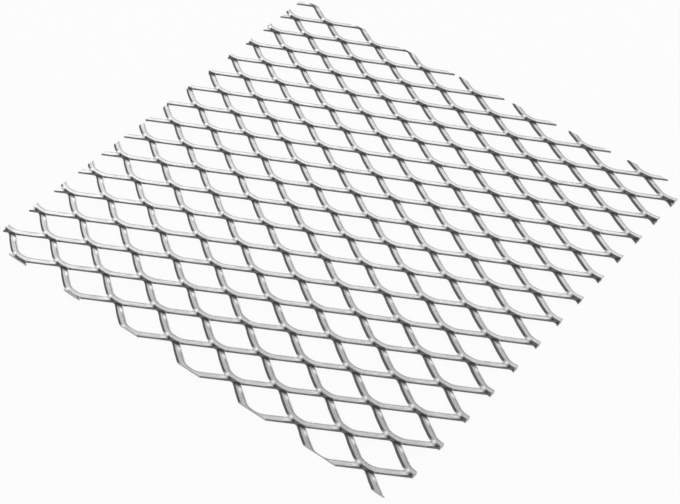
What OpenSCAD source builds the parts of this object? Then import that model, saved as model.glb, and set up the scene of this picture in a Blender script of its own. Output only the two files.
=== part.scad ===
// Raised expanded metal sheet: one flat panel of diamond mesh, slit and stretched from a single
// plate, cut to size by four straight cuts that don't follow the mesh.
// It lies flat with Z up. X runs along the long way of the mesh and Y along the short way.

/* [Sheet] */
// Width of the near edge, from corner to corner
sheet_width = 280.4; // [120:0.1:420]
// Length of the sheet, from the near left corner to the far left corner
sheet_length = 325.1; // [120:0.1:420]
// Lean of the left cut, outwards towards the far edge
left_lean = 5.4; // [-2:0.1:8]
// Lean of the right cut, outwards towards the far edge
right_lean = 1.2; // [-2:0.1:8]
// Rise of the near cut from left to right
near_slope = 1; // [-3:0.05:3]
// Fall of the far cut from left to right
far_slope = 1.4; // [-3:0.05:3]
// Thickness of the plate before it is slit
plate_thickness = 3.7; // [1.5:0.1:4]

/* [Mesh] */
// Long way of the mesh, from bond to bond
long_way = 43; // [34:0.5:60]
// Short way of the mesh, from bond to bond
short_way = 23; // [18:0.5:32]
// Width of one strand, which is the feed of the slitting blade
strand_width = 1.4; // [1:0.1:3]
// Length of the straight part in the middle of each bond
bond_length = 1; // [0.4:0.1:5]
// Inner radius of the wide bend on the far side of each bond
wide_bend = 9.5; // [2:0.5:11]
// Inner radius of the tight bend on the near side of each bond
tight_bend = 0.4; // [0.2:0.1:2]
// Distance of the first bond from the near left corner, along X
first_bond_x = 23.1; // [0:0.1:43]
// Distance of the first bond from the near left corner, along Y
first_bond_y = 2.4; // [0:0.1:23]

/* [Hidden] */

// Straight steps that make up each bend
wide_steps = 3;
tight_steps = 2;

// A strand's width and rise are the sides of a right angle whose long side is half the short way,
// so they set how steeply the strands stand. The rise is kept to a whole micrometre, which lets
// the faces of neighbouring strands meet exactly.
strand_rise = round(1000 * sqrt(pow(short_way / 2, 2) - pow(strand_width, 2))) / 1000;
stand_angle = atan(strand_rise / strand_width);
half_pitch = norm([strand_rise, strand_width]);
mesh_height = 2 * strand_width * sin(stand_angle) + plate_thickness * cos(stand_angle);

// Bend radii at the middle of the plate's thickness
wide_mid = wide_bend + plate_thickness / 2;
tight_mid = tight_bend + plate_thickness / 2;

// Slope of the straight leg that runs tangent to both bends
leg_run = long_way / 2 - bond_length;
bend_sum = wide_mid + tight_mid;
leg_reach = norm([leg_run, strand_rise - bend_sum]);
leg_slope = asin(bend_sum / leg_reach) + atan((strand_rise - bend_sum) / leg_run);

// Corners of the cut outline, with the near left one at zero
near_right = [sheet_width, sheet_width * tan(near_slope)];
far_left = [-sheet_length * tan(left_lean), sheet_length];
far_right_x = (sheet_width + (sheet_length + far_left.x * tan(far_slope) - near_right.y) * tan(right_lean))
    / (1 + tan(far_slope) * tan(right_lean));
far_right = [far_right_x, sheet_length - (far_right_x - far_left.x) * tan(far_slope)];
outline = [[0, 0], near_right, far_right, far_left];

// Box round the outline
low = [min([for (p = outline) p.x]), min([for (p = outline) p.y])];
high = [max([for (p = outline) p.x]), max([for (p = outline) p.y])];
middle = (low + high) / 2;

// Strands and legs that may cross the outline
first_strand = floor((low.y - first_bond_y) / half_pitch) - 1;
last_strand = ceil((high.y - first_bond_y) / half_pitch);
first_leg = 2 * floor((low.x - first_bond_x) / long_way) - 2;
last_leg = 2 * ceil((high.x - first_bond_x) / long_way) + 1;

// How far a point lies outside one side of the outline, which is negative inside. The sides are
// numbered from 0 at the near one, then right, far and left.
function past_side(p, side) =
    let (start = outline[side], along = outline[(side + 1) % 4] - start)
    cross(p - start, along) / norm(along);

// Whether the cuts leave any metal of a bond in that place
function has_metal(p) = max([for (side = [0:3]) past_side(p, side)]) < plate_thickness / 2;

// Middle of a strand's bond. A strand bends wide at its bonds with even numbers, where it hangs on
// the nearer strand, and tight at those with odd ones, where the farther strand hangs on it.
function bond_place(strand, bond) = [
    first_bond_x + (strand % 2 == 0 ? 0 : long_way / 2) + bond * long_way / 2,
    first_bond_y + (strand + abs(bond % 2)) * half_pitch];

// Whether the cuts leave a leg in place, which is named after the bond at its left end. At the
// near and the far side, a leg whose last bond the cut almost halves breaks off with its stub.
function kept(strand, leg) =
    let (wide = bond_place(strand, leg + abs(leg % 2)), tight = bond_place(strand, leg + 1 - abs(leg % 2)))
    (has_metal(wide) || has_metal(tight))
    && past_side(wide, 2) < -strand_width / 2 && past_side(tight, 0) < -strand_width / 2;

function kept_legs(strand) = [for (leg = [first_leg:last_leg]) if (kept(strand, leg)) leg];

// Points of one side of a strand from the middle of a wide bend to the middle of the next tight
// one, where side is half the thickness towards the near edge, or minus that towards the far edge
function rising_side(side) = concat(
    [for (i = [0:wide_steps])
        let (a = leg_slope * i / wide_steps, r = wide_mid + side)
        [bond_length / 2 + r * sin(a), wide_mid - r * cos(a)]],
    [for (i = [tight_steps:-1:0])
        let (a = leg_slope * i / tight_steps, r = tight_mid - side)
        [long_way / 2 - bond_length / 2 - r * sin(a), strand_rise - tight_mid + r * cos(a)]]);

function reversed(list) = [for (i = [len(list) - 1:-1:0]) list[i]];

// The same points for any leg, which falls from a tight bend to a wide one at odd numbers
function leg_side(leg, side) = leg % 2 == 0
    ? [for (p = rising_side(side)) [leg * long_way / 2 + p.x, p.y]]
    : [for (p = reversed(rising_side(side))) [(leg + 1) * long_way / 2 - p.x, p.y]];

// Point of one side of a strand in the middle of a bond
function bond_side(bond, side) = [bond * long_way / 2, (bond % 2 == 0 ? 0 : strand_rise) - side];

// One whole side of a strand along its legs
function strand_side(legs, side) = concat(
    [bond_side(legs[0], side)],
    [for (leg = legs) each leg_side(leg, side)],
    [bond_side(legs[len(legs) - 1] + 1, side)]);

// One zigzag strand, lying on the face that the slitting blade sheared
module strand(legs) {
    half = plate_thickness / 2;
    linear_extrude(strand_width)
        polygon(concat(strand_side(legs, half), reversed(strand_side(legs, -half))));
}

// All strands, each joined face to face with the next one at its bonds, then turned together
// until their bonds lie in one level plane
module mesh() {
    translate([first_bond_x, first_bond_y, 0])
        rotate([stand_angle - 90, 0, 0])
            for (k = [first_strand:last_strand])
                if (len(kept_legs(k)) > 0)
                    translate([k % 2 == 0 ? 0 : long_way / 2, k * strand_rise, k * strand_width])
                        strand(kept_legs(k));
}

// Mesh cut to the outline, with its underside on the floor and its origin in the middle
module expanded_sheet() {
    color("silver")
        translate([-middle.x, -middle.y, mesh_height / 2])
            intersection() {
                mesh();
                translate([0, 0, -mesh_height])
                    linear_extrude(2 * mesh_height)
                        polygon(outline);
            }
}

expanded_sheet();
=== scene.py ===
# %% [markdown]
# # An expanded metal sheet
# The object is one piece of raised expanded metal: a steel plate that was slit in staggered rows
# and stretched until the slits opened into diamonds, then cut out by hand with four straight cuts.
# The imported model holds its true size. This script loads that model, dresses it in a finer mesh
# with rounded sheared edges and metal finishes that carry some painted light and shade, and lights it
# like a plain studio picture. All lengths are in metres, and those of the mesh are written in
# millimetres times MM.

# %% Tools and the fixed model
import math

import bmesh
import bpy
from mathutils import Matrix, Vector


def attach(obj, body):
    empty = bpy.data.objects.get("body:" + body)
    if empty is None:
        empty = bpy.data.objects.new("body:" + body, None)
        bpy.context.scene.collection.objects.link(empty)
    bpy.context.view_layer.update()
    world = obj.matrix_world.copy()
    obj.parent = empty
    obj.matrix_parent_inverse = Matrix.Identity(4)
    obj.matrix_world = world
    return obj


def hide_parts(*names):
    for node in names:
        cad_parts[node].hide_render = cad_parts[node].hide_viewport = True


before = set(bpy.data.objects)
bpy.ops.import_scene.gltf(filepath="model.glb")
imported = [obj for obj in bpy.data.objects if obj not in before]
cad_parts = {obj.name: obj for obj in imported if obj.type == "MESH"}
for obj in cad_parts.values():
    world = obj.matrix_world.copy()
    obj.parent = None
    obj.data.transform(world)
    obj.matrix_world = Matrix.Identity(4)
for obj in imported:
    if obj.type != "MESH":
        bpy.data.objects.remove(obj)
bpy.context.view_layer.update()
MM = 0.001
print("packed nodes", list(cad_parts))

# %% [markdown]
# ## Camera
# The picture was taken from the front right, looking down at the sheet with the camera rolled a few
# degrees. A camera could be turned by hand until it looks right. Here its place, the floor point in
# the middle of its view and its roll are plain numbers, so the view is the same on every run.

# %% Camera
CAMERA_PLACE = Vector((0.3127, -0.4547, 0.4811))
CAMERA_AIM = Vector((0.0234, -0.0384, 0.0))
CAMERA_ROLL = math.radians(4.61)
CAMERA_LENS = 63.35
CAMERA_SHIFT = 0.0141
SENSOR_WIDTH = 36.0


def make_camera():
    data = bpy.data.cameras.new("camera")
    data.sensor_width = SENSOR_WIDTH
    data.lens = CAMERA_LENS
    data.shift_x = CAMERA_SHIFT
    camera = bpy.data.objects.new("camera", data)
    bpy.context.scene.collection.objects.link(camera)
    look = (CAMERA_AIM - CAMERA_PLACE).to_track_quat("-Z", "Y").to_matrix().to_4x4()
    camera.matrix_world = Matrix.Translation(CAMERA_PLACE) @ look @ Matrix.Rotation(CAMERA_ROLL, 4, "Z")
    bpy.context.scene.camera = camera


make_camera()
print("camera", round((CAMERA_AIM - CAMERA_PLACE).length, 3), "m from the floor point it looks at")

# %% [markdown]
# ## Sizes of the mesh
# Expanded metal is described by a few numbers: the long and the short way of the diamond, the strand
# width, which is how far the plate is fed between slits, and the plate's thickness. All the rest
# follows from them. The angles could be copied as numbers from the solid model. They are worked out
# again here, in the same way, because then a reader can see where each of them comes from.

# %% Sizes of the sheet and its mesh
SHEET_WIDTH = 280.4 * MM
SHEET_LENGTH = 325.1 * MM
LEFT_LEAN = math.radians(5.4)
RIGHT_LEAN = math.radians(1.2)
NEAR_SLOPE = math.radians(1.0)
FAR_SLOPE = math.radians(1.4)
PLATE = 3.7 * MM
LONG_WAY = 43 * MM
SHORT_WAY = 23 * MM
STRAND_WIDTH = 1.4 * MM
BOND_LENGTH = 1.0 * MM
WIDE_BEND = 9.5 * MM
TIGHT_BEND = 0.4 * MM
FIRST_BOND = Vector((23.1 * MM, 2.4 * MM))

STRAND_RISE = math.sqrt((SHORT_WAY / 2) ** 2 - STRAND_WIDTH**2)
STAND_ANGLE = math.atan2(STRAND_RISE, STRAND_WIDTH)
MESH_HEIGHT = 2 * STRAND_WIDTH * math.sin(STAND_ANGLE) + PLATE * math.cos(STAND_ANGLE)
WIDE_MID = WIDE_BEND + PLATE / 2
TIGHT_MID = TIGHT_BEND + PLATE / 2
LEG_RUN = LONG_WAY / 2 - BOND_LENGTH
BEND_SUM = WIDE_MID + TIGHT_MID
LEG_SLOPE = math.asin(BEND_SUM / math.hypot(LEG_RUN, STRAND_RISE - BEND_SUM))
LEG_SLOPE += math.atan((STRAND_RISE - BEND_SUM) / LEG_RUN)
print("strands stand at", round(math.degrees(STAND_ANGLE), 1), "degrees")
print("legs slope", round(math.degrees(LEG_SLOPE), 1), "degrees")

# %% [markdown]
# ## Outline
# The four cuts of the real sheet were made by hand: the left one leans most, and none follows the
# mesh. A rectangle would be simpler, but the odd stubs that leaning cuts leave along each edge are
# what one sees first. So the corners are worked out from the lean of each cut, and the origin is
# moved to the middle of the box round them, where the solid model has it.


# %% Corners of the cut outline
def cut_corners():
    """Corners of the sheet, from the near left one at zero round by the right."""
    left, right = math.tan(LEFT_LEAN), math.tan(RIGHT_LEAN)
    near, far = math.tan(NEAR_SLOPE), math.tan(FAR_SLOPE)
    near_right = Vector((SHEET_WIDTH, SHEET_WIDTH * near))
    far_left = Vector((-SHEET_LENGTH * left, SHEET_LENGTH))
    far_x = SHEET_WIDTH + (SHEET_LENGTH + far_left.x * far - near_right.y) * right
    far_x /= 1 + far * right
    far_right = Vector((far_x, SHEET_LENGTH - (far_x - far_left.x) * far))
    return [Vector((0, 0)), near_right, far_right, far_left]


def box_round(points):
    """Lowest and highest corner of the box round some points."""
    low = Vector((min(p.x for p in points), min(p.y for p in points)))
    high = Vector((max(p.x for p in points), max(p.y for p in points)))
    return low, high


box_low, box_high = box_round(cut_corners())
middle = (box_low + box_high) / 2
outline = [p - middle for p in cut_corners()]
first_bond = FIRST_BOND - middle
print("outline corners in mm", [tuple(round(v / MM, 1) for v in p) for p in outline])

# %% Strands and legs that may cross the outline
box_low, box_high = box_round(outline)
first_step = box_low - first_bond
last_step = box_high - first_bond
STRANDS = range(math.floor(2 * first_step.y / SHORT_WAY) - 1, math.ceil(2 * last_step.y / SHORT_WAY) + 1)
LEGS = range(2 * math.floor(first_step.x / LONG_WAY) - 2, 2 * math.ceil(last_step.x / LONG_WAY) + 2)
print("strands that may cross the outline", STRANDS, "legs", LEGS)

# %% [markdown]
# ## One strand
# A strand is a zigzag bar. It bends wide where it hangs on the nearer strand and tight where the
# farther strand hangs on it. Its middle line could be a Bezier curve, but the real bends are arcs
# round a blade, so it is made of arcs and straight legs. The stations stand closer together where a
# bend carries more detail.

# %% Path of a strand through its bends
WIDE_TURNS = (0, 0.2, 0.4, 0.53, 0.66, 0.82, 1)
TIGHT_STEPS = 3
LEG_STEPS = 5


def leg_path():
    """Stations from the middle of a wide bend to the middle of the next tight bend.
    Each is the place on the middle line and the angle of the strand there."""
    stations = [(0.0, 0.0, 0.0)]
    for turn in WIDE_TURNS:
        a = LEG_SLOPE * turn
        x = BOND_LENGTH / 2 + WIDE_MID * math.sin(a)
        stations.append((x, WIDE_MID * (1 - math.cos(a)), a))
    ends = []
    for i in range(TIGHT_STEPS, -1, -1):
        a = LEG_SLOPE * i / TIGHT_STEPS
        x = LONG_WAY / 2 - BOND_LENGTH / 2 - TIGHT_MID * math.sin(a)
        ends.append((x, STRAND_RISE - TIGHT_MID * (1 - math.cos(a)), a))
    start, end = stations[-1], ends[0]
    for i in range(1, LEG_STEPS):
        t = i / LEG_STEPS
        stations.append((start[0] + (end[0] - start[0]) * t, start[1] + (end[1] - start[1]) * t, LEG_SLOPE))
    return stations + ends + [(LONG_WAY / 2, STRAND_RISE, 0.0)]


print("stations in one leg", len(leg_path()))

# %% [markdown]
# ## Edges of a strand
# Two faces of the bar are the skin of the plate, and the two between them were sheared by the
# slitting blade. A plain extrusion would leave four razor edges, and a bevel would round them all
# alike. The real blade rolls the metal over where it enters and leaves the sheared face a little
# crowned, which is what catches the light. So the bar is built ring by ring from a section whose
# edges change along the way: a wide roll and a swell on the legs that fall towards the near side,
# a crisp edge and a small pinch on the rising ones, and a smeared corner at the left end of each
# bond, where the two strands tore apart. At the bonds, where they are still one metal, it all fades.

# %% Sizes of the edges
ROLL_FALLING = 0.95 * MM
ROLL_RISING = 0.15 * MM
BURR_FALLING = 0.10 * MM
BURR_RISING = 0.30 * MM
FAR_ROLL = 0.35 * MM
CROWN = 0.04 * MM
JOINED_REACH = 5.4 * MM
FADE = 1.2 * MM
SWELL_NEAR = 0.36 * MM
SWELL_FAR = 0.12 * MM
SWELL_START = 4.0 * MM
SWELL_FADE = 4.0 * MM
SMEAR = 1.3 * MM
SMEAR_REACH = (2.4 * MM, 4.5 * MM, 0.8 * MM)
PINCH = 0.55 * MM
PINCH_REACH = (0.8 * MM, 4.4 * MM, 1.4 * MM)

# Points of the near roll: how far across and how far down, as shares of the roll's width
ROLL_POINTS = ((0.0, 0.38), (0.22, 0.20), (0.58, 0.06), (1.0, 0.0))

# Points of the flat: how far across, as a share of its width, and how far down, as one of the crown
FLAT_POINTS = ((1 / 3, 0.1), (2 / 3, 0.4))

# Place of the far roll's one middle point, across and down, as a share of its width
FAR_ROUND = 0.3
print("widest roll", round((ROLL_FALLING + SMEAR) / MM, 2), "mm, in the smeared corners")


# %% Fades along a strand
def fade_in(distance, start, length=FADE):
    """0 up to a start, then a smooth rise to 1 over a length."""
    t = min(max((distance - start) / length, 0.0), 1.0)
    return t * t * (3 - 2 * t)


def window(distance, start, end, length):
    """1 between a start and an end, fading in and out over a length."""
    return fade_in(distance, start, length) - fade_in(distance, end, length)


def one_way(falling):
    """How fully a place belongs to a falling leg: 0 on rising legs and at the bonds, 1 on falling ones."""
    return max(0.0, 2 * falling - 1)


def blend(start, end, share):
    return start + (end - start) * share


print("half way through a fade", fade_in(FADE / 2, 0.0))


# %% Section of a strand
def near_roll(from_wide, from_tight, falling):
    """Width of the rolled edge towards the near side."""
    roll = blend(ROLL_RISING, ROLL_FALLING, falling) * fade_in(from_tight, BOND_LENGTH / 2)
    roll += SMEAR * one_way(falling) * window(from_wide, *SMEAR_REACH)
    return roll + PINCH * (1 - falling) * window(from_tight, *PINCH_REACH)


def section(from_wide, from_tight, falling):
    """The ring of points round the strand as depth and height, given its distances from the wide
    and the tight bend, and how much it falls towards the near side, from 0 to 1."""
    free = fade_in(from_wide, SWELL_START, SWELL_FADE) * fade_in(from_tight, SWELL_START, SWELL_FADE)
    near = -PLATE / 2 - SWELL_NEAR * one_way(falling) * free
    rear = PLATE / 2 + SWELL_FAR * one_way(falling) * free
    roll = near_roll(from_wide, from_tight, falling)
    burr = blend(BURR_RISING, BURR_FALLING, falling) * fade_in(from_wide, JOINED_REACH)
    far = FAR_ROLL * fade_in(from_tight, JOINED_REACH)
    crown = CROWN * fade_in(from_tight, JOINED_REACH)
    under = FAR_ROLL * fade_in(from_wide, BOND_LENGTH / 2)
    flat = rear - far - near - roll
    ring = [(near + roll * share, STRAND_WIDTH - roll * drop) for share, drop in ROLL_POINTS]
    ring += [(near + roll + flat * share, STRAND_WIDTH - crown * drop) for share, drop in FLAT_POINTS]
    top = STRAND_WIDTH - crown
    ring += [(rear - far, top), (rear - FAR_ROUND * far, top - FAR_ROUND * far), (rear, top - far)]
    return ring + [(rear, under), (rear - under, 0.0), (near + burr, 0.0), (near, burr)]


RING = len(section(LONG_WAY / 4, LONG_WAY / 4, 1.0))
print("points round a strand", RING)

# %% [markdown]
# ## Marks on the points
# The painted light and shade is placed by numbers, not patch by patch. Every point of the mesh carries
# a few numbers that say how far it is from the nearest bends and which way its leg runs, and the
# finishes read them. In the order of MARKS, they are a painted highlight on the plate's skin beside
# each bond, a painted highlight on the sheared face just past each tight bend, 1 on the legs that fall
# towards the near side, which the finishes paint darker as painted shade, painted shade right at each
# tight bend, where the farther strand lies over the nearer one, and painted shade at the near right
# corner and the far rim of the sheet.

# %% Reach of the marks
MARKS = ("skin_highlight", "face_highlight", "falling", "crevice_shade", "sheet_shade")

# Start, end and fade of the painted highlight on the skin, measured from the middle of a wide bend
SKIN_HIGHLIGHT_ON_FALLING = (2.4 * MM, 4.5 * MM, 0.8 * MM)
SKIN_HIGHLIGHT_ON_RISING = (4.2 * MM, 5.4 * MM, 0.5 * MM)
SKIN_HIGHLIGHT_RISING_SHARE = 0.45

# The same for the painted highlight on the sheared face, measured from the middle of a tight bend
FACE_HIGHLIGHT_ON_FALLING = (5.4 * MM, 8.4 * MM, 0.9 * MM)
FACE_HIGHLIGHT_ON_RISING = (3.4 * MM, 5.0 * MM, 1.2 * MM)

# End and fade of the painted shade at a tight bend, which begins in the middle of the bend
CREVICE_SHADE_REACH = (3.2 * MM, 0.7 * MM)

# Start and length of each change from the near side of the sheet to the far one: the painted
# highlight on the sheared face fades, and the painted shade of the sheet fades out past the near
# right corner and comes back at the far rim. The near painted shade leans across the sheet, so it
# shows only at the right corner.
FACE_HIGHLIGHT_FALLS_OFF = (-90 * MM, 80 * MM)
FACE_HIGHLIGHT_LOSS = 0.6
SHEET_SHADE_NEAR_RIGHT = (-150 * MM, 120 * MM)
SHEET_SHADE_FAR = (50 * MM, 110 * MM)
SHEET_SHADE_LEAN = 0.5
print("marks", MARKS)


# %% Marks of one point
def work_marks(from_wide, from_tight, falling, across_sheet, along_sheet):
    """The marks of a point, in the order of MARKS: two painted highlights, the leg's fall and two kinds of
    painted shade.
    """
    if falling > 0.5:
        skin_highlight = window(from_wide, *SKIN_HIGHLIGHT_ON_FALLING)
        face_highlight = window(from_tight, *FACE_HIGHLIGHT_ON_FALLING)
        face_highlight *= 1 - FACE_HIGHLIGHT_LOSS * fade_in(along_sheet, *FACE_HIGHLIGHT_FALLS_OFF)
    else:
        skin_highlight = SKIN_HIGHLIGHT_RISING_SHARE * window(from_wide, *SKIN_HIGHLIGHT_ON_RISING)
        face_highlight = window(from_tight, *FACE_HIGHLIGHT_ON_RISING)
    crevice_shade = 1 - fade_in(from_tight, *CREVICE_SHADE_REACH)
    from_near_right = along_sheet - SHEET_SHADE_LEAN * across_sheet
    sheet_shade = 1 - fade_in(from_near_right, *SHEET_SHADE_NEAR_RIGHT) + fade_in(along_sheet, *SHEET_SHADE_FAR)
    return skin_highlight, face_highlight, falling, crevice_shade, sheet_shade


print("marks half way down a falling leg", work_marks(LONG_WAY / 4, LONG_WAY / 4, 1.0, 0.0, 0.0))

# %% [markdown]
# ## Which legs are left
# Neighbouring strands are shifted by half a diamond and touch face to face at their bonds. The real
# cuts leave stubs, but no loose bits. One diamond could be repeated with an array and trimmed, but
# that would leave slivers at the corners that hang on nothing. So each leg is asked first whether
# the cuts leave any metal at its bonds, and only those that hang on something are built.


# %% Which legs the cuts leave
def past_side(point, side):
    """How far a point lies outside a side of the outline. It is negative inside. The sides are
    numbered from 0 at the near one, then right, far and left."""
    along = (outline[(side + 1) % 4] - outline[side]).normalized()
    return (point - outline[side]).dot(Vector((along.y, -along.x)))


def has_metal(point):
    """Whether the cuts leave any metal of a bond in that place."""
    return max(past_side(point, side) for side in range(4)) < PLATE / 2


def strand_shift(strand):
    """Every second strand is shifted by half a diamond."""
    return 0.0 if strand % 2 == 0 else LONG_WAY / 2


def bond_place(strand, bond):
    """Middle of a strand's bond. It bends wide at its even bonds and tight at the odd ones."""
    along = strand_shift(strand) + bond * LONG_WAY / 2
    return first_bond + Vector((along, (strand + bond % 2) * SHORT_WAY / 2))


def kept(strand, leg):
    """Whether the cuts leave a leg in place, named after the bond at its left end."""
    wide = bond_place(strand, leg + leg % 2)
    tight = bond_place(strand, leg + 1 - leg % 2)
    held = has_metal(wide) or has_metal(tight)
    return held and past_side(wide, 2) < -STRAND_WIDTH / 2 and past_side(tight, 0) < -STRAND_WIDTH / 2


kept_legs = {strand: [leg for leg in LEGS if kept(strand, leg)] for strand in STRANDS}
kept_legs = {strand: legs for strand, legs in kept_legs.items() if legs}
print("strands", len(kept_legs), "legs", sum(len(legs) for legs in kept_legs.values()))

# %% [markdown]
# ## Rings of points
# A strand's rings stand on its stations one after another, from its first leg to its last, and the
# whole strand is tipped until its bonds lie level, as in the real sheet. A curve with a bevel object
# would be quicker, but its section can't change on the way, and it carries no marks.

# %% Rings along a strand
TIP = Matrix.Rotation(STAND_ANGLE - math.pi / 2, 4, "X")
SAME_PLACE = 0.0001 * MM


def strand_stations(legs):
    """All stations of a strand over its legs, with the distances from its bends."""
    half = LONG_WAY / 2
    stations = []
    for leg in legs:
        rising = leg % 2 == 0
        for x, rise, slope in leg_path() if rising else reversed(leg_path()):
            place = leg * half + (x if rising else half - x)
            if not stations or abs(place - stations[-1][0]) > SAME_PLACE:
                stations.append((place, rise, slope if rising else -slope, x, half - x))
    return stations


def add_rings(shape, strand, stations):
    """Puts one ring of points at each station, and returns the rings' depths and heights."""
    rings = []
    base_x = first_bond.x + strand_shift(strand)
    base = Vector((base_x, first_bond.y + strand * SHORT_WAY / 2, MESH_HEIGHT / 2))
    for x, rise, slope, from_wide, from_tight in stations:
        falling = 0.5 - 0.5 * slope / LEG_SLOPE
        marks = work_marks(from_wide, from_tight, falling, base.x + x, base.y)
        rings.append(section(from_wide, from_tight, falling))
        for depth, up in rings[-1]:
            spot = Vector((x - depth * math.sin(slope), rise + depth * math.cos(slope), up))
            shape["points"].append(base + TIP @ spot)
            shape["marks"].append(marks)
    return rings


print("stations of the first strand", len(strand_stations(kept_legs[min(kept_legs)])))

# %% [markdown]
# ## Faces and pattern map
# Each pair of rings is joined by one quad per side, and each quad knows whether it is skin or
# sheared face. The blade dragged its lines along the strand, so the pattern map follows the strand:
# one direction is the length along it and the other the place across it, measured over the rolled
# edges. An automatic unwrap would turn the lines in any direction.

# %% Faces of a strand
SKIN, SHEARED, CUT = 0, 1, 2
SKIN_SIDES = (0, 1, 2, 8, 12)
OUTWARDS = (-1, -1, -1, 0, 0, 0, 1, 1, 1, 1, 0, -1, -1)
PATTERN_STEP = 0.37


def across(side, spot):
    """Place of a spot across the strand, measured over its edges. On the sheared face it is the depth."""
    depth, up = spot
    return depth + OUTWARDS[side] * (STRAND_WIDTH - up)


def add_sides(shape, strand, stations, rings, begin):
    """Joins neighbouring rings. The map of each strand is shifted, so that no two look alike."""
    for i in range(len(stations) - 1):
        s0 = stations[i][0] + strand * PATTERN_STEP
        s1 = stations[i + 1][0] + strand * PATTERN_STEP
        a, b = begin + i * RING, begin + (i + 1) * RING
        for j in range(RING):
            k = (j + 1) % RING
            shape["faces"].append((a + j, b + j, b + k, a + k))
            ends = ((s0, rings[i][j]), (s1, rings[i + 1][j]), (s1, rings[i + 1][k]), (s0, rings[i][k]))
            shape["uvs"] += [(along, across(j, spot)) for along, spot in ends]
            shape["finishes"].append(SKIN if j in SKIN_SIDES else SHEARED)


def add_ends(shape, begin, last):
    """Closes both ends of a strand."""
    for cap in (list(range(begin, begin + RING)), list(range(last, last + RING))[::-1]):
        shape["faces"].append(tuple(cap))
        shape["uvs"] += [(0.0, 0.0)] * RING
        shape["finishes"].append(CUT)


print("sides of skin", len(SKIN_SIDES), "of", RING)


# %% Strands into one mesh
def gather_strands():
    """Points, marks, faces, map and finishes of all strands."""
    shape = {"points": [], "faces": [], "uvs": [], "finishes": [], "marks": []}
    for strand, legs in kept_legs.items():
        stations = strand_stations(legs)
        begin = len(shape["points"])
        rings = add_rings(shape, strand, stations)
        add_sides(shape, strand, stations, rings, begin)
        add_ends(shape, begin, begin + (len(stations) - 1) * RING)
    return shape


def make_mesh(shape):
    mesh = bpy.data.meshes.new("expanded_mesh")
    mesh.from_pydata(shape["points"], [], shape["faces"])
    layer = mesh.uv_layers.new(name="strand")
    layer.data.foreach_set("uv", [value for uv in shape["uvs"] for value in uv])
    for part, name in enumerate(MARKS):
        numbers = mesh.attributes.new(name, "FLOAT", "POINT")
        numbers.data.foreach_set("value", [marks[part] for marks in shape["marks"]])
    mesh.polygons.foreach_set("material_index", shape["finishes"])
    return mesh


sheet_mesh = make_mesh(gather_strands())
print("points before the cuts", len(sheet_mesh.vertices))

# %% [markdown]
# ## The four cuts
# The real sheet was cut right through its strands and bonds, and each cut shows a flat bare face. A
# boolean with a big box would cut it too, but it is slow on thousands of faces and unsure where
# strands touch. A plane that bisects the mesh is quick, and the holes along its rim are then filled.

# %% Cuts
SHARP_ANGLE = math.radians(32)


def trim(mesh):
    """Cuts the mesh along the four sides of the outline and closes each cut. Before that it clears the
    faces without area, which lie where a softened edge has faded out."""
    work = bmesh.new()
    work.from_mesh(mesh)
    bmesh.ops.dissolve_degenerate(work, dist=SAME_PLACE, edges=work.edges)
    bmesh.ops.recalc_face_normals(work, faces=work.faces)
    for start, end in zip(outline, outline[1:] + outline[:1]):
        along = (end - start).normalized()
        cut = bmesh.ops.bisect_plane(
            work,
            geom=work.verts[:] + work.edges[:] + work.faces[:],
            plane_co=Vector((start.x, start.y, 0.0)),
            plane_no=Vector((along.y, -along.x, 0.0)),
            clear_outer=True,
        )
        rim = [item for item in cut["geom_cut"] if isinstance(item, bmesh.types.BMEdge)]
        filled = bmesh.ops.holes_fill(work, edges=rim)
        for face in filled["faces"]:
            face.material_index = CUT
    work.to_mesh(mesh)
    work.free()


trim(sheet_mesh)
sheet_mesh.polygons.foreach_set("use_smooth", [p.material_index != CUT for p in sheet_mesh.polygons])
sheet_mesh.set_sharp_from_angle(angle=SHARP_ANGLE)
print("triangles after the cuts", sum(len(p.vertices) - 2 for p in sheet_mesh.polygons))

# %% [markdown]
# ## In the place of the solid
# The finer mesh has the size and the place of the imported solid, so it can simply stand for it. The
# solid stays in the model for its weight and its contacts, and is only hidden from view.

# %% The sheet on its frame
sheet = bpy.data.objects.new("expanded_mesh", sheet_mesh)
bpy.context.scene.collection.objects.link(sheet)
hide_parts("expanded_sheet")
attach(sheet, "root")
print("piece", sheet.name, "stands for expanded_sheet")

# %% [markdown]
# ## Shader groups
# Three effects turn up in more than one place, so each is a node group: lines dragged along the
# strand by the blade, a cloudy mottle of handling and zinc, and a band at one depth of a face. They
# are procedural, so they stay sharp at any distance, and they give out only plain numbers. The
# finishes decide what to do with them.



# %% Links and groups
def plug(links, value, socket):
    """Links a socket to an output, or sets it to a plain number or colour."""
    if isinstance(value, bpy.types.NodeSocket):
        links.new(value, socket)
    else:
        socket.default_value = value


def new_group(name, inputs):
    """An empty node group with number inputs and one number output. Returns its tree and both ends."""
    group = bpy.data.node_groups.new(name, "ShaderNodeTree")
    for label, value in inputs.items():
        group.interface.new_socket(label, in_out="INPUT", socket_type="NodeSocketFloat").default_value = value
    group.interface.new_socket("Amount", in_out="OUTPUT", socket_type="NodeSocketFloat")
    return group, group.nodes.new("NodeGroupInput").outputs, group.nodes.new("NodeGroupOutput").inputs


print("groups so far", len(bpy.data.node_groups))

# %% Numbers and noise
NOISE_RANGE = (0.3, 0.7)


def math_node(tree, operation, *values):
    node = tree.nodes.new("ShaderNodeMath")
    node.operation = operation
    for value, socket in zip(values, node.inputs):
        plug(tree.links, value, socket)
    return node.outputs[0]


def times(tree, vector, factor):
    """A vector or colour times a number."""
    node = tree.nodes.new("ShaderNodeVectorMath")
    node.operation = "SCALE"
    tree.links.new(vector, node.inputs[0])
    plug(tree.links, factor, node.inputs["Scale"])
    return node.outputs[0]


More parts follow.
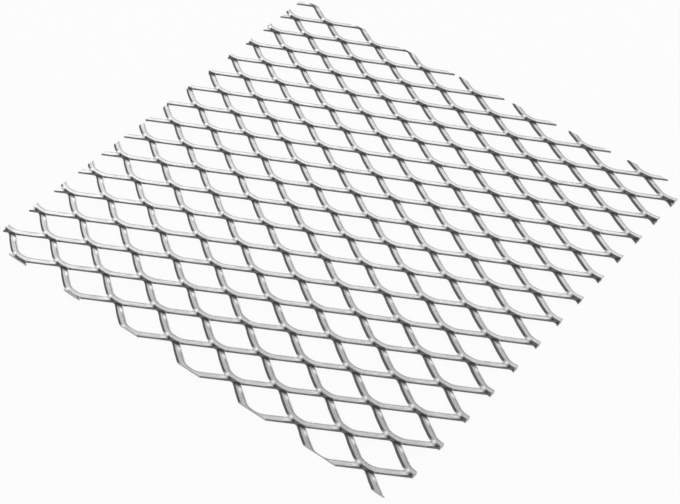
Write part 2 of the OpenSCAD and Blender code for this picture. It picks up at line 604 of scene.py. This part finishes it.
def spread(tree, value, source, target, smooth=False):
    """Maps a value from a source range to a target range and stops at the ends."""
    node = tree.nodes.new("ShaderNodeMapRange")
    node.interpolation_type = "SMOOTHSTEP" if smooth else "LINEAR"
    for item, socket in zip((value, *source, *target), node.inputs):
        plug(tree.links, item, socket)
    return node.outputs[0]


def noise(tree, vector, detail, roughness):
    """Noise from 0 to 1. Its plain values seldom leave a narrow range, so that range is spread."""
    node = tree.nodes.new("ShaderNodeTexNoise")
    node.inputs["Scale"].default_value = 1.0
    node.inputs["Detail"].default_value = detail
    node.inputs["Roughness"].default_value = roughness
    tree.links.new(vector, node.inputs["Vector"])
    return spread(tree, node.outputs["Fac"], NOISE_RANGE, (0.0, 1.0))


print("noise between", NOISE_RANGE, "is spread from 0 to 1")

# %% [markdown]
# ### Dragged lines
# A blade drags fine lines along every face that it shears. A picture of brushed metal would show
# them, but it would repeat and blur close up. Noise that is stretched along the strand's own map
# gives lines that follow each bend and never repeat.


# %% Group for lines dragged along a strand
def map_in_mm(group):
    """The length along a strand and the place across it, in millimetres."""
    place = group.nodes.new("ShaderNodeUVMap")
    place.uv_map = "strand"
    parts = group.nodes.new("ShaderNodeSeparateXYZ")
    group.links.new(times(group, place.outputs[0], 1 / MM), parts.inputs[0])
    return parts.outputs[0], parts.outputs[1]


def make_drag_lines():
    group, given, out = new_group("drag_lines", {"Length mm": 8.0, "Width mm": 0.4})
    along, over = map_in_mm(group)
    vector = group.nodes.new("ShaderNodeCombineXYZ")
    group.links.new(math_node(group, "DIVIDE", along, given["Length mm"]), vector.inputs[0])
    group.links.new(math_node(group, "DIVIDE", over, given["Width mm"]), vector.inputs[1])
    lines = noise(group, vector.outputs[0], detail=3.0, roughness=0.6)
    group.links.new(lines, out["Amount"])
    return group


drag_lines = make_drag_lines()
print("group", drag_lines.name, [item.name for item in drag_lines.interface.items_tree])

# %% [markdown]
# ### Mottle
# Zinc, oil and hands leave faint clouds a few millimetres wide on all bare metal. Even colours
# would look like plastic. This noise sits in the object's own space, so the clouds run on from one
# face to the next without a seam.


# %% Group for cloudy mottle
def make_mottle():
    group, given, out = new_group("mottle", {"Cloud mm": 2.0})
    place = group.nodes.new("ShaderNodeTexCoord").outputs["Object"]
    clouds_per_metre = math_node(group, "DIVIDE", 1 / MM, given["Cloud mm"])
    clouds = noise(group, times(group, place, clouds_per_metre), detail=4.0, roughness=0.65)
    group.links.new(clouds, out["Amount"])
    return group


mottle = make_mottle()
print("group", mottle.name, [item.name for item in mottle.interface.items_tree])

# %% [markdown]
# ### Bands
# Across a sheared face the metal changes with depth: a burnished part, a ridge, a torn part. Each
# could be its own strip of faces, but a band that reads the map needs no extra faces and can be
# soft at its rims.


# %% Group for a band at one depth of a face
def make_depth_band():
    group, given, out = new_group("depth_band", {"Depth mm": 1.0, "Half width mm": 0.2, "Soft mm": 0.2})
    depth = map_in_mm(group)[1]
    beyond = math_node(group, "SUBTRACT", depth, given["Depth mm"])
    away = math_node(group, "ABSOLUTE", beyond)
    end = math_node(group, "ADD", given["Half width mm"], given["Soft mm"])
    band = spread(group, away, (given["Half width mm"], end), (1.0, 0.0), smooth=True)
    group.links.new(band, out["Amount"])
    return group


depth_band = make_depth_band()
print("group", depth_band.name, [item.name for item in depth_band.interface.items_tree])

# %% [markdown]
# ## Finishes
# The steel shows three finishes: the plate's rolled skin, the sheared faces and the cut ends. All
# are metal, so their colour is the colour of their reflections, and roughness decides how soft
# those are. One material with many masks could hold all three, but three short ones are easier to
# read and to change.



# %% Materials, groups and marks
def new_material(name):
    material = bpy.data.materials.new(name)
    material.use_nodes = True
    return material, material.node_tree


def use_group(tree, group, **values):
    """Places a group and sets its inputs. An underscore in a name stands for a space."""
    node = tree.nodes.new("ShaderNodeGroup")
    node.node_tree = group
    for label, value in values.items():
        node.inputs[label.replace("_", " ")].default_value = value
    return node.outputs["Amount"]


def mark(tree, name):
    """One of the marks that the points of the mesh carry."""
    node = tree.nodes.new("ShaderNodeAttribute")
    node.attribute_name = name
    return node.outputs["Fac"]


def dress(tree, colour, roughness, height, depth):
    """Connects a finish to its metal shader. The depth of its relief is in metres."""
    shader = tree.nodes["Principled BSDF"]
    shader.inputs["Metallic"].default_value = 1.0
    tree.links.new(colour, shader.inputs["Base Color"])
    tree.links.new(roughness, shader.inputs["Roughness"])
    bump = tree.nodes.new("ShaderNodeBump")
    bump.inputs["Strength"].default_value = 1.0
    bump.inputs["Distance"].default_value = depth
    tree.links.new(height, bump.inputs["Height"])
    tree.links.new(bump.outputs[0], shader.inputs["Normal"])


print("marks to read", [item.name for item in sheet_mesh.attributes if item.name in MARKS])

# %% Greys and shades
ZINC_CAST = 1.02

# Sockets of a Mix node that blends colours, by their numbers
MIX_FACTOR, MIX_START, MIX_END, MIX_RESULT = 0, 6, 7, 2


def grey(level):
    """A grey with the faint cold cast of zinc."""
    return (level, level, level * ZINC_CAST, 1.0)


def blend_colour(tree, factor, start, end):
    node = tree.nodes.new("ShaderNodeMix")
    node.data_type = "RGBA"
    for value, socket in zip((factor, start, end), (MIX_FACTOR, MIX_START, MIX_END)):
        plug(tree.links, value, node.inputs[socket])
    return node.outputs[MIX_RESULT]


def from_to(tree, share, start, end):
    """A number that goes from start to end while a share goes from 0 to 1."""
    return spread(tree, share, (0.0, 1.0), (start, end))


def shade(tree, colour, share, start, end):
    """Multiplies a colour by a number that goes from start to end with a share."""
    return times(tree, colour, from_to(tree, share, start, end))


print("half grey", grey(0.5))

# %% [markdown]
# ### Rolled skin
# The plate's rolled face is the dark side of each strand: dull, mottled and a little lined. Its dark
# grey is partly the rolled skin and partly painted shade, and the falling legs are painted darker
# still. A plain dark grey would do from far away. Close up it needs its clouds, and in the smeared
# corners beside the bonds a painted highlight lightens the skin.

# %% Rolled skin
# Dark skin greys, partly the rolled skin and partly painted shade, darker on the falling legs
SKIN_RISING = grey(0.18)
SKIN_FALLING_SHADED = grey(0.12)
# Near-white painted highlight for the skin beside the bonds
SKIN_HIGHLIGHT_GREY = grey(0.97)
SKIN_CLOUDS = (0.8, 1.2)
SKIN_LINES = (0.88, 1.12)
SKIN_ROUGHNESS = (0.38, 0.52)
SKIN_HIGHLIGHT_ROUGHNESS = 0.3
SKIN_RELIEF = 0.03 * MM


def make_rolled_skin():
    material, tree = new_material("rolled_skin")
    lines = use_group(tree, drag_lines, Length_mm=5.0, Width_mm=0.5)
    clouds = use_group(tree, mottle, Cloud_mm=1.6)
    skin_highlight = mark(tree, "skin_highlight")
    # Painted shade: falling legs darker than rising ones
    colour = blend_colour(tree, mark(tree, "falling"), SKIN_RISING, SKIN_FALLING_SHADED)
    colour = shade(tree, colour, clouds, *SKIN_CLOUDS)
    colour = shade(tree, colour, lines, *SKIN_LINES)
    # Painted highlight on the skin beside the bonds
    colour = blend_colour(tree, skin_highlight, colour, SKIN_HIGHLIGHT_GREY)
    roughness = from_to(tree, skin_highlight, from_to(tree, clouds, *SKIN_ROUGHNESS), SKIN_HIGHLIGHT_ROUGHNESS)
    dress(tree, colour, roughness, clouds, SKIN_RELIEF)
    return material


rolled_skin = make_rolled_skin()
print("finish", rolled_skin.name, len(rolled_skin.node_tree.nodes), "nodes")

# %% [markdown]
# ### Sheared face
# The faces that look up are bare metal, lined by the blade, with a darker ridge where shearing gave
# way to tearing. The legs that fall towards the near side are painted darker, as painted shade. Just
# past each tight bend a painted highlight lightens the face, and at the bend itself, where the
# farther strand lies over it, painted shade darkens it. Painted shade also darkens the faces at the
# near right corner and the far rim. Painting each patch by hand would take a map as large as the
# sheet, so the marks on the points place them all at once.

# %% Sheared face
# Painted shade makes the falling legs' grey darker than the rising legs' grey
FACE_RISING = grey(0.83)
FACE_FALLING_SHADED = grey(0.65)
# A near-white painted highlight, then the dark painted shade at the tight bends
FACE_HIGHLIGHT_GREY = grey(0.98)
FACE_CREVICE_SHADE = grey(0.16)
FACE_LINES = (0.76, 1.22)
FACE_CLOUDS = (0.92, 1.06)
# Painted shade at the near right corner and the far rim
FACE_SHEET_SHADE = (1.0, 0.82)
FACE_RIDGE = (1.0, 0.5)
FACE_ROUGHNESS = (0.42, 0.3)
FACE_RELIEF = 0.03 * MM


def painted_highlights(tree, falling):
    """Where the face gets its painted highlight. On falling legs the patch keeps to a band in the middle."""
    middle_band = use_group(tree, depth_band, Depth_mm=0.7, Half_width_mm=0.45, Soft_mm=0.6)
    reach = spread(tree, falling, (0.5, 1.0), (1.0, middle_band))
    return math_node(tree, "MULTIPLY", mark(tree, "face_highlight"), reach)


def make_sheared_face():
    material, tree = new_material("sheared_face")
    falling = mark(tree, "falling")
    lines = use_group(tree, drag_lines, Length_mm=7.0, Width_mm=0.55)
    clouds = use_group(tree, mottle, Cloud_mm=2.2)
    ridge = use_group(tree, depth_band, Depth_mm=1.0, Half_width_mm=0.14, Soft_mm=0.25)
    # Painted shade: falling legs darker than rising ones
    colour = blend_colour(tree, falling, FACE_RISING, FACE_FALLING_SHADED)
    colour = shade(tree, colour, lines, *FACE_LINES)
    colour = shade(tree, colour, clouds, *FACE_CLOUDS)
    # Painted shade at the near right corner and the far rim
    colour = shade(tree, colour, mark(tree, "sheet_shade"), *FACE_SHEET_SHADE)
    colour = shade(tree, colour, ridge, *FACE_RIDGE)
    # Painted highlight just past each tight bend
    colour = blend_colour(tree, painted_highlights(tree, falling), colour, FACE_HIGHLIGHT_GREY)
    # Painted shade at each tight bend, where the farther strand lies over the nearer one
    colour = blend_colour(tree, mark(tree, "crevice_shade"), colour, FACE_CREVICE_SHADE)
    dress(tree, colour, from_to(tree, lines, *FACE_ROUGHNESS), lines, FACE_RELIEF)
    return material


sheared_face = make_sheared_face()
print("finish", sheared_face.name, len(sheared_face.node_tree.nodes), "nodes")

# %% [markdown]
# ### Cut ends
# The four cuts leave small grey faces, neither rolled nor dragged. They could share the sheared
# face, but they have no length along the strand for its lines to follow, so they get a fine mottle.

# %% Cut ends
CUT_DARK = grey(0.34)
CUT_PALE = grey(0.5)
CUT_ROUGHNESS = (0.36, 0.46)
CUT_RELIEF = 0.04 * MM


def make_cut_end():
    material, tree = new_material("cut_end")
    clouds = use_group(tree, mottle, Cloud_mm=0.8)
    colour = blend_colour(tree, clouds, CUT_DARK, CUT_PALE)
    dress(tree, colour, from_to(tree, clouds, *CUT_ROUGHNESS), clouds, CUT_RELIEF)
    return material


cut_end = make_cut_end()
print("finish", cut_end.name, len(cut_end.node_tree.nodes), "nodes")

# %% Finishes on the sheet
for finish in (rolled_skin, sheared_face, cut_end):
    sheet_mesh.materials.append(finish)
print("finishes", [finish.name for finish in sheet_mesh.materials])

# %% [markdown]
# ## Floor
# The picture stands on a plain white ground with a faint shadow. A white floor lit hard would throw
# its light back at the steel, so the floor mixes two things instead: an even white that only the
# camera and reflections see, and a small share of ordinary matt paint that takes the shadow.

# %% Floor
FLOOR_SHADOW = 0.08
FLOOR_SIZE = 12.0
FLOOR_DROP = 0.2 * MM
FLOOR_PAINT = (0.9, 0.9, 0.9, 1)
FLOOR_ROUGHNESS = 0.9


def make_floor_paint():
    material, tree = new_material("pale_floor")
    paint = tree.nodes["Principled BSDF"]
    paint.inputs["Base Color"].default_value = FLOOR_PAINT
    paint.inputs["Roughness"].default_value = FLOOR_ROUGHNESS
    glow = tree.nodes.new("ShaderNodeEmission")
    path = tree.nodes.new("ShaderNodeLightPath")
    seen = math_node(tree, "MAXIMUM", path.outputs["Is Camera Ray"], path.outputs["Is Glossy Ray"])
    seen = math_node(tree, "MAXIMUM", seen, path.outputs["Is Transmission Ray"])
    mix = tree.nodes.new("ShaderNodeMixShader")
    plug(tree.links, math_node(tree, "MULTIPLY", seen, 1 - FLOOR_SHADOW), mix.inputs[0])
    plug(tree.links, paint.outputs[0], mix.inputs[1])
    plug(tree.links, glow.outputs[0], mix.inputs[2])
    plug(tree.links, mix.outputs[0], tree.nodes["Material Output"].inputs["Surface"])
    return material


def make_floor():
    """A plain floor, a hair below the sheet so that no two faces lie in one plane."""
    bpy.ops.mesh.primitive_plane_add(size=FLOOR_SIZE, location=(0, 0, -FLOOR_DROP))
    floor = bpy.context.object
    floor.name = "floor"
    floor.data.materials.append(make_floor_paint())


make_floor()
print("floor keeps", FLOOR_SHADOW, "of its shadow")

# %% [markdown]
# ## Studio light
# Metal shows what stands round it. A few bare lamps would leave it black with hard sparks. An even
# pale surrounding gives every face its own grey instead, and one long softbox low behind the left
# of the sheet brightens the faces that look up and back at it, a little more on the far rows than
# on the near ones, as in the picture. A small weak lamp high on the left is mirrored only in the
# smeared corners beside the bonds and adds its glint to the painted highlight there.

# %% World
WORLD_LEVEL = 0.72


def make_world():
    world = bpy.data.worlds.new("studio")
    bpy.context.scene.world = world
    world.use_nodes = True
    back = world.node_tree.nodes["Background"]
    back.inputs["Color"].default_value = (1, 1, 1, 1)
    back.inputs["Strength"].default_value = WORLD_LEVEL


make_world()
bpy.context.scene.view_settings.view_transform = "Standard"
print("world", WORLD_LEVEL)

# %% Lamps
SOFTBOX_PLACE = Vector((-1.1, 1.85, 0.72))
SOFTBOX_SIZE = (3.4, 1.0)
SOFTBOX_POWER = 7.5
GLINT_PLACE = Vector((-1.05, 0.51, 0.95))
GLINT_SIZE = (0.6, 0.6)
GLINT_POWER = 0.8


def make_softbox(name, place, size, power):
    """A rectangle of light that faces the middle of the sheet."""
    data = bpy.data.lights.new(name, "AREA")
    data.shape = "RECTANGLE"
    data.size, data.size_y = size
    data.energy = power
    lamp = bpy.data.objects.new(name, data)
    bpy.context.scene.collection.objects.link(lamp)
    look = (-place).to_track_quat("-Z", "Y").to_matrix().to_4x4()
    lamp.matrix_world = Matrix.Translation(place) @ look


make_softbox("softbox", SOFTBOX_PLACE, SOFTBOX_SIZE, SOFTBOX_POWER)
make_softbox("glint", GLINT_PLACE, GLINT_SIZE, GLINT_POWER)
print("softbox", SOFTBOX_POWER, "W, glint", GLINT_POWER, "W")
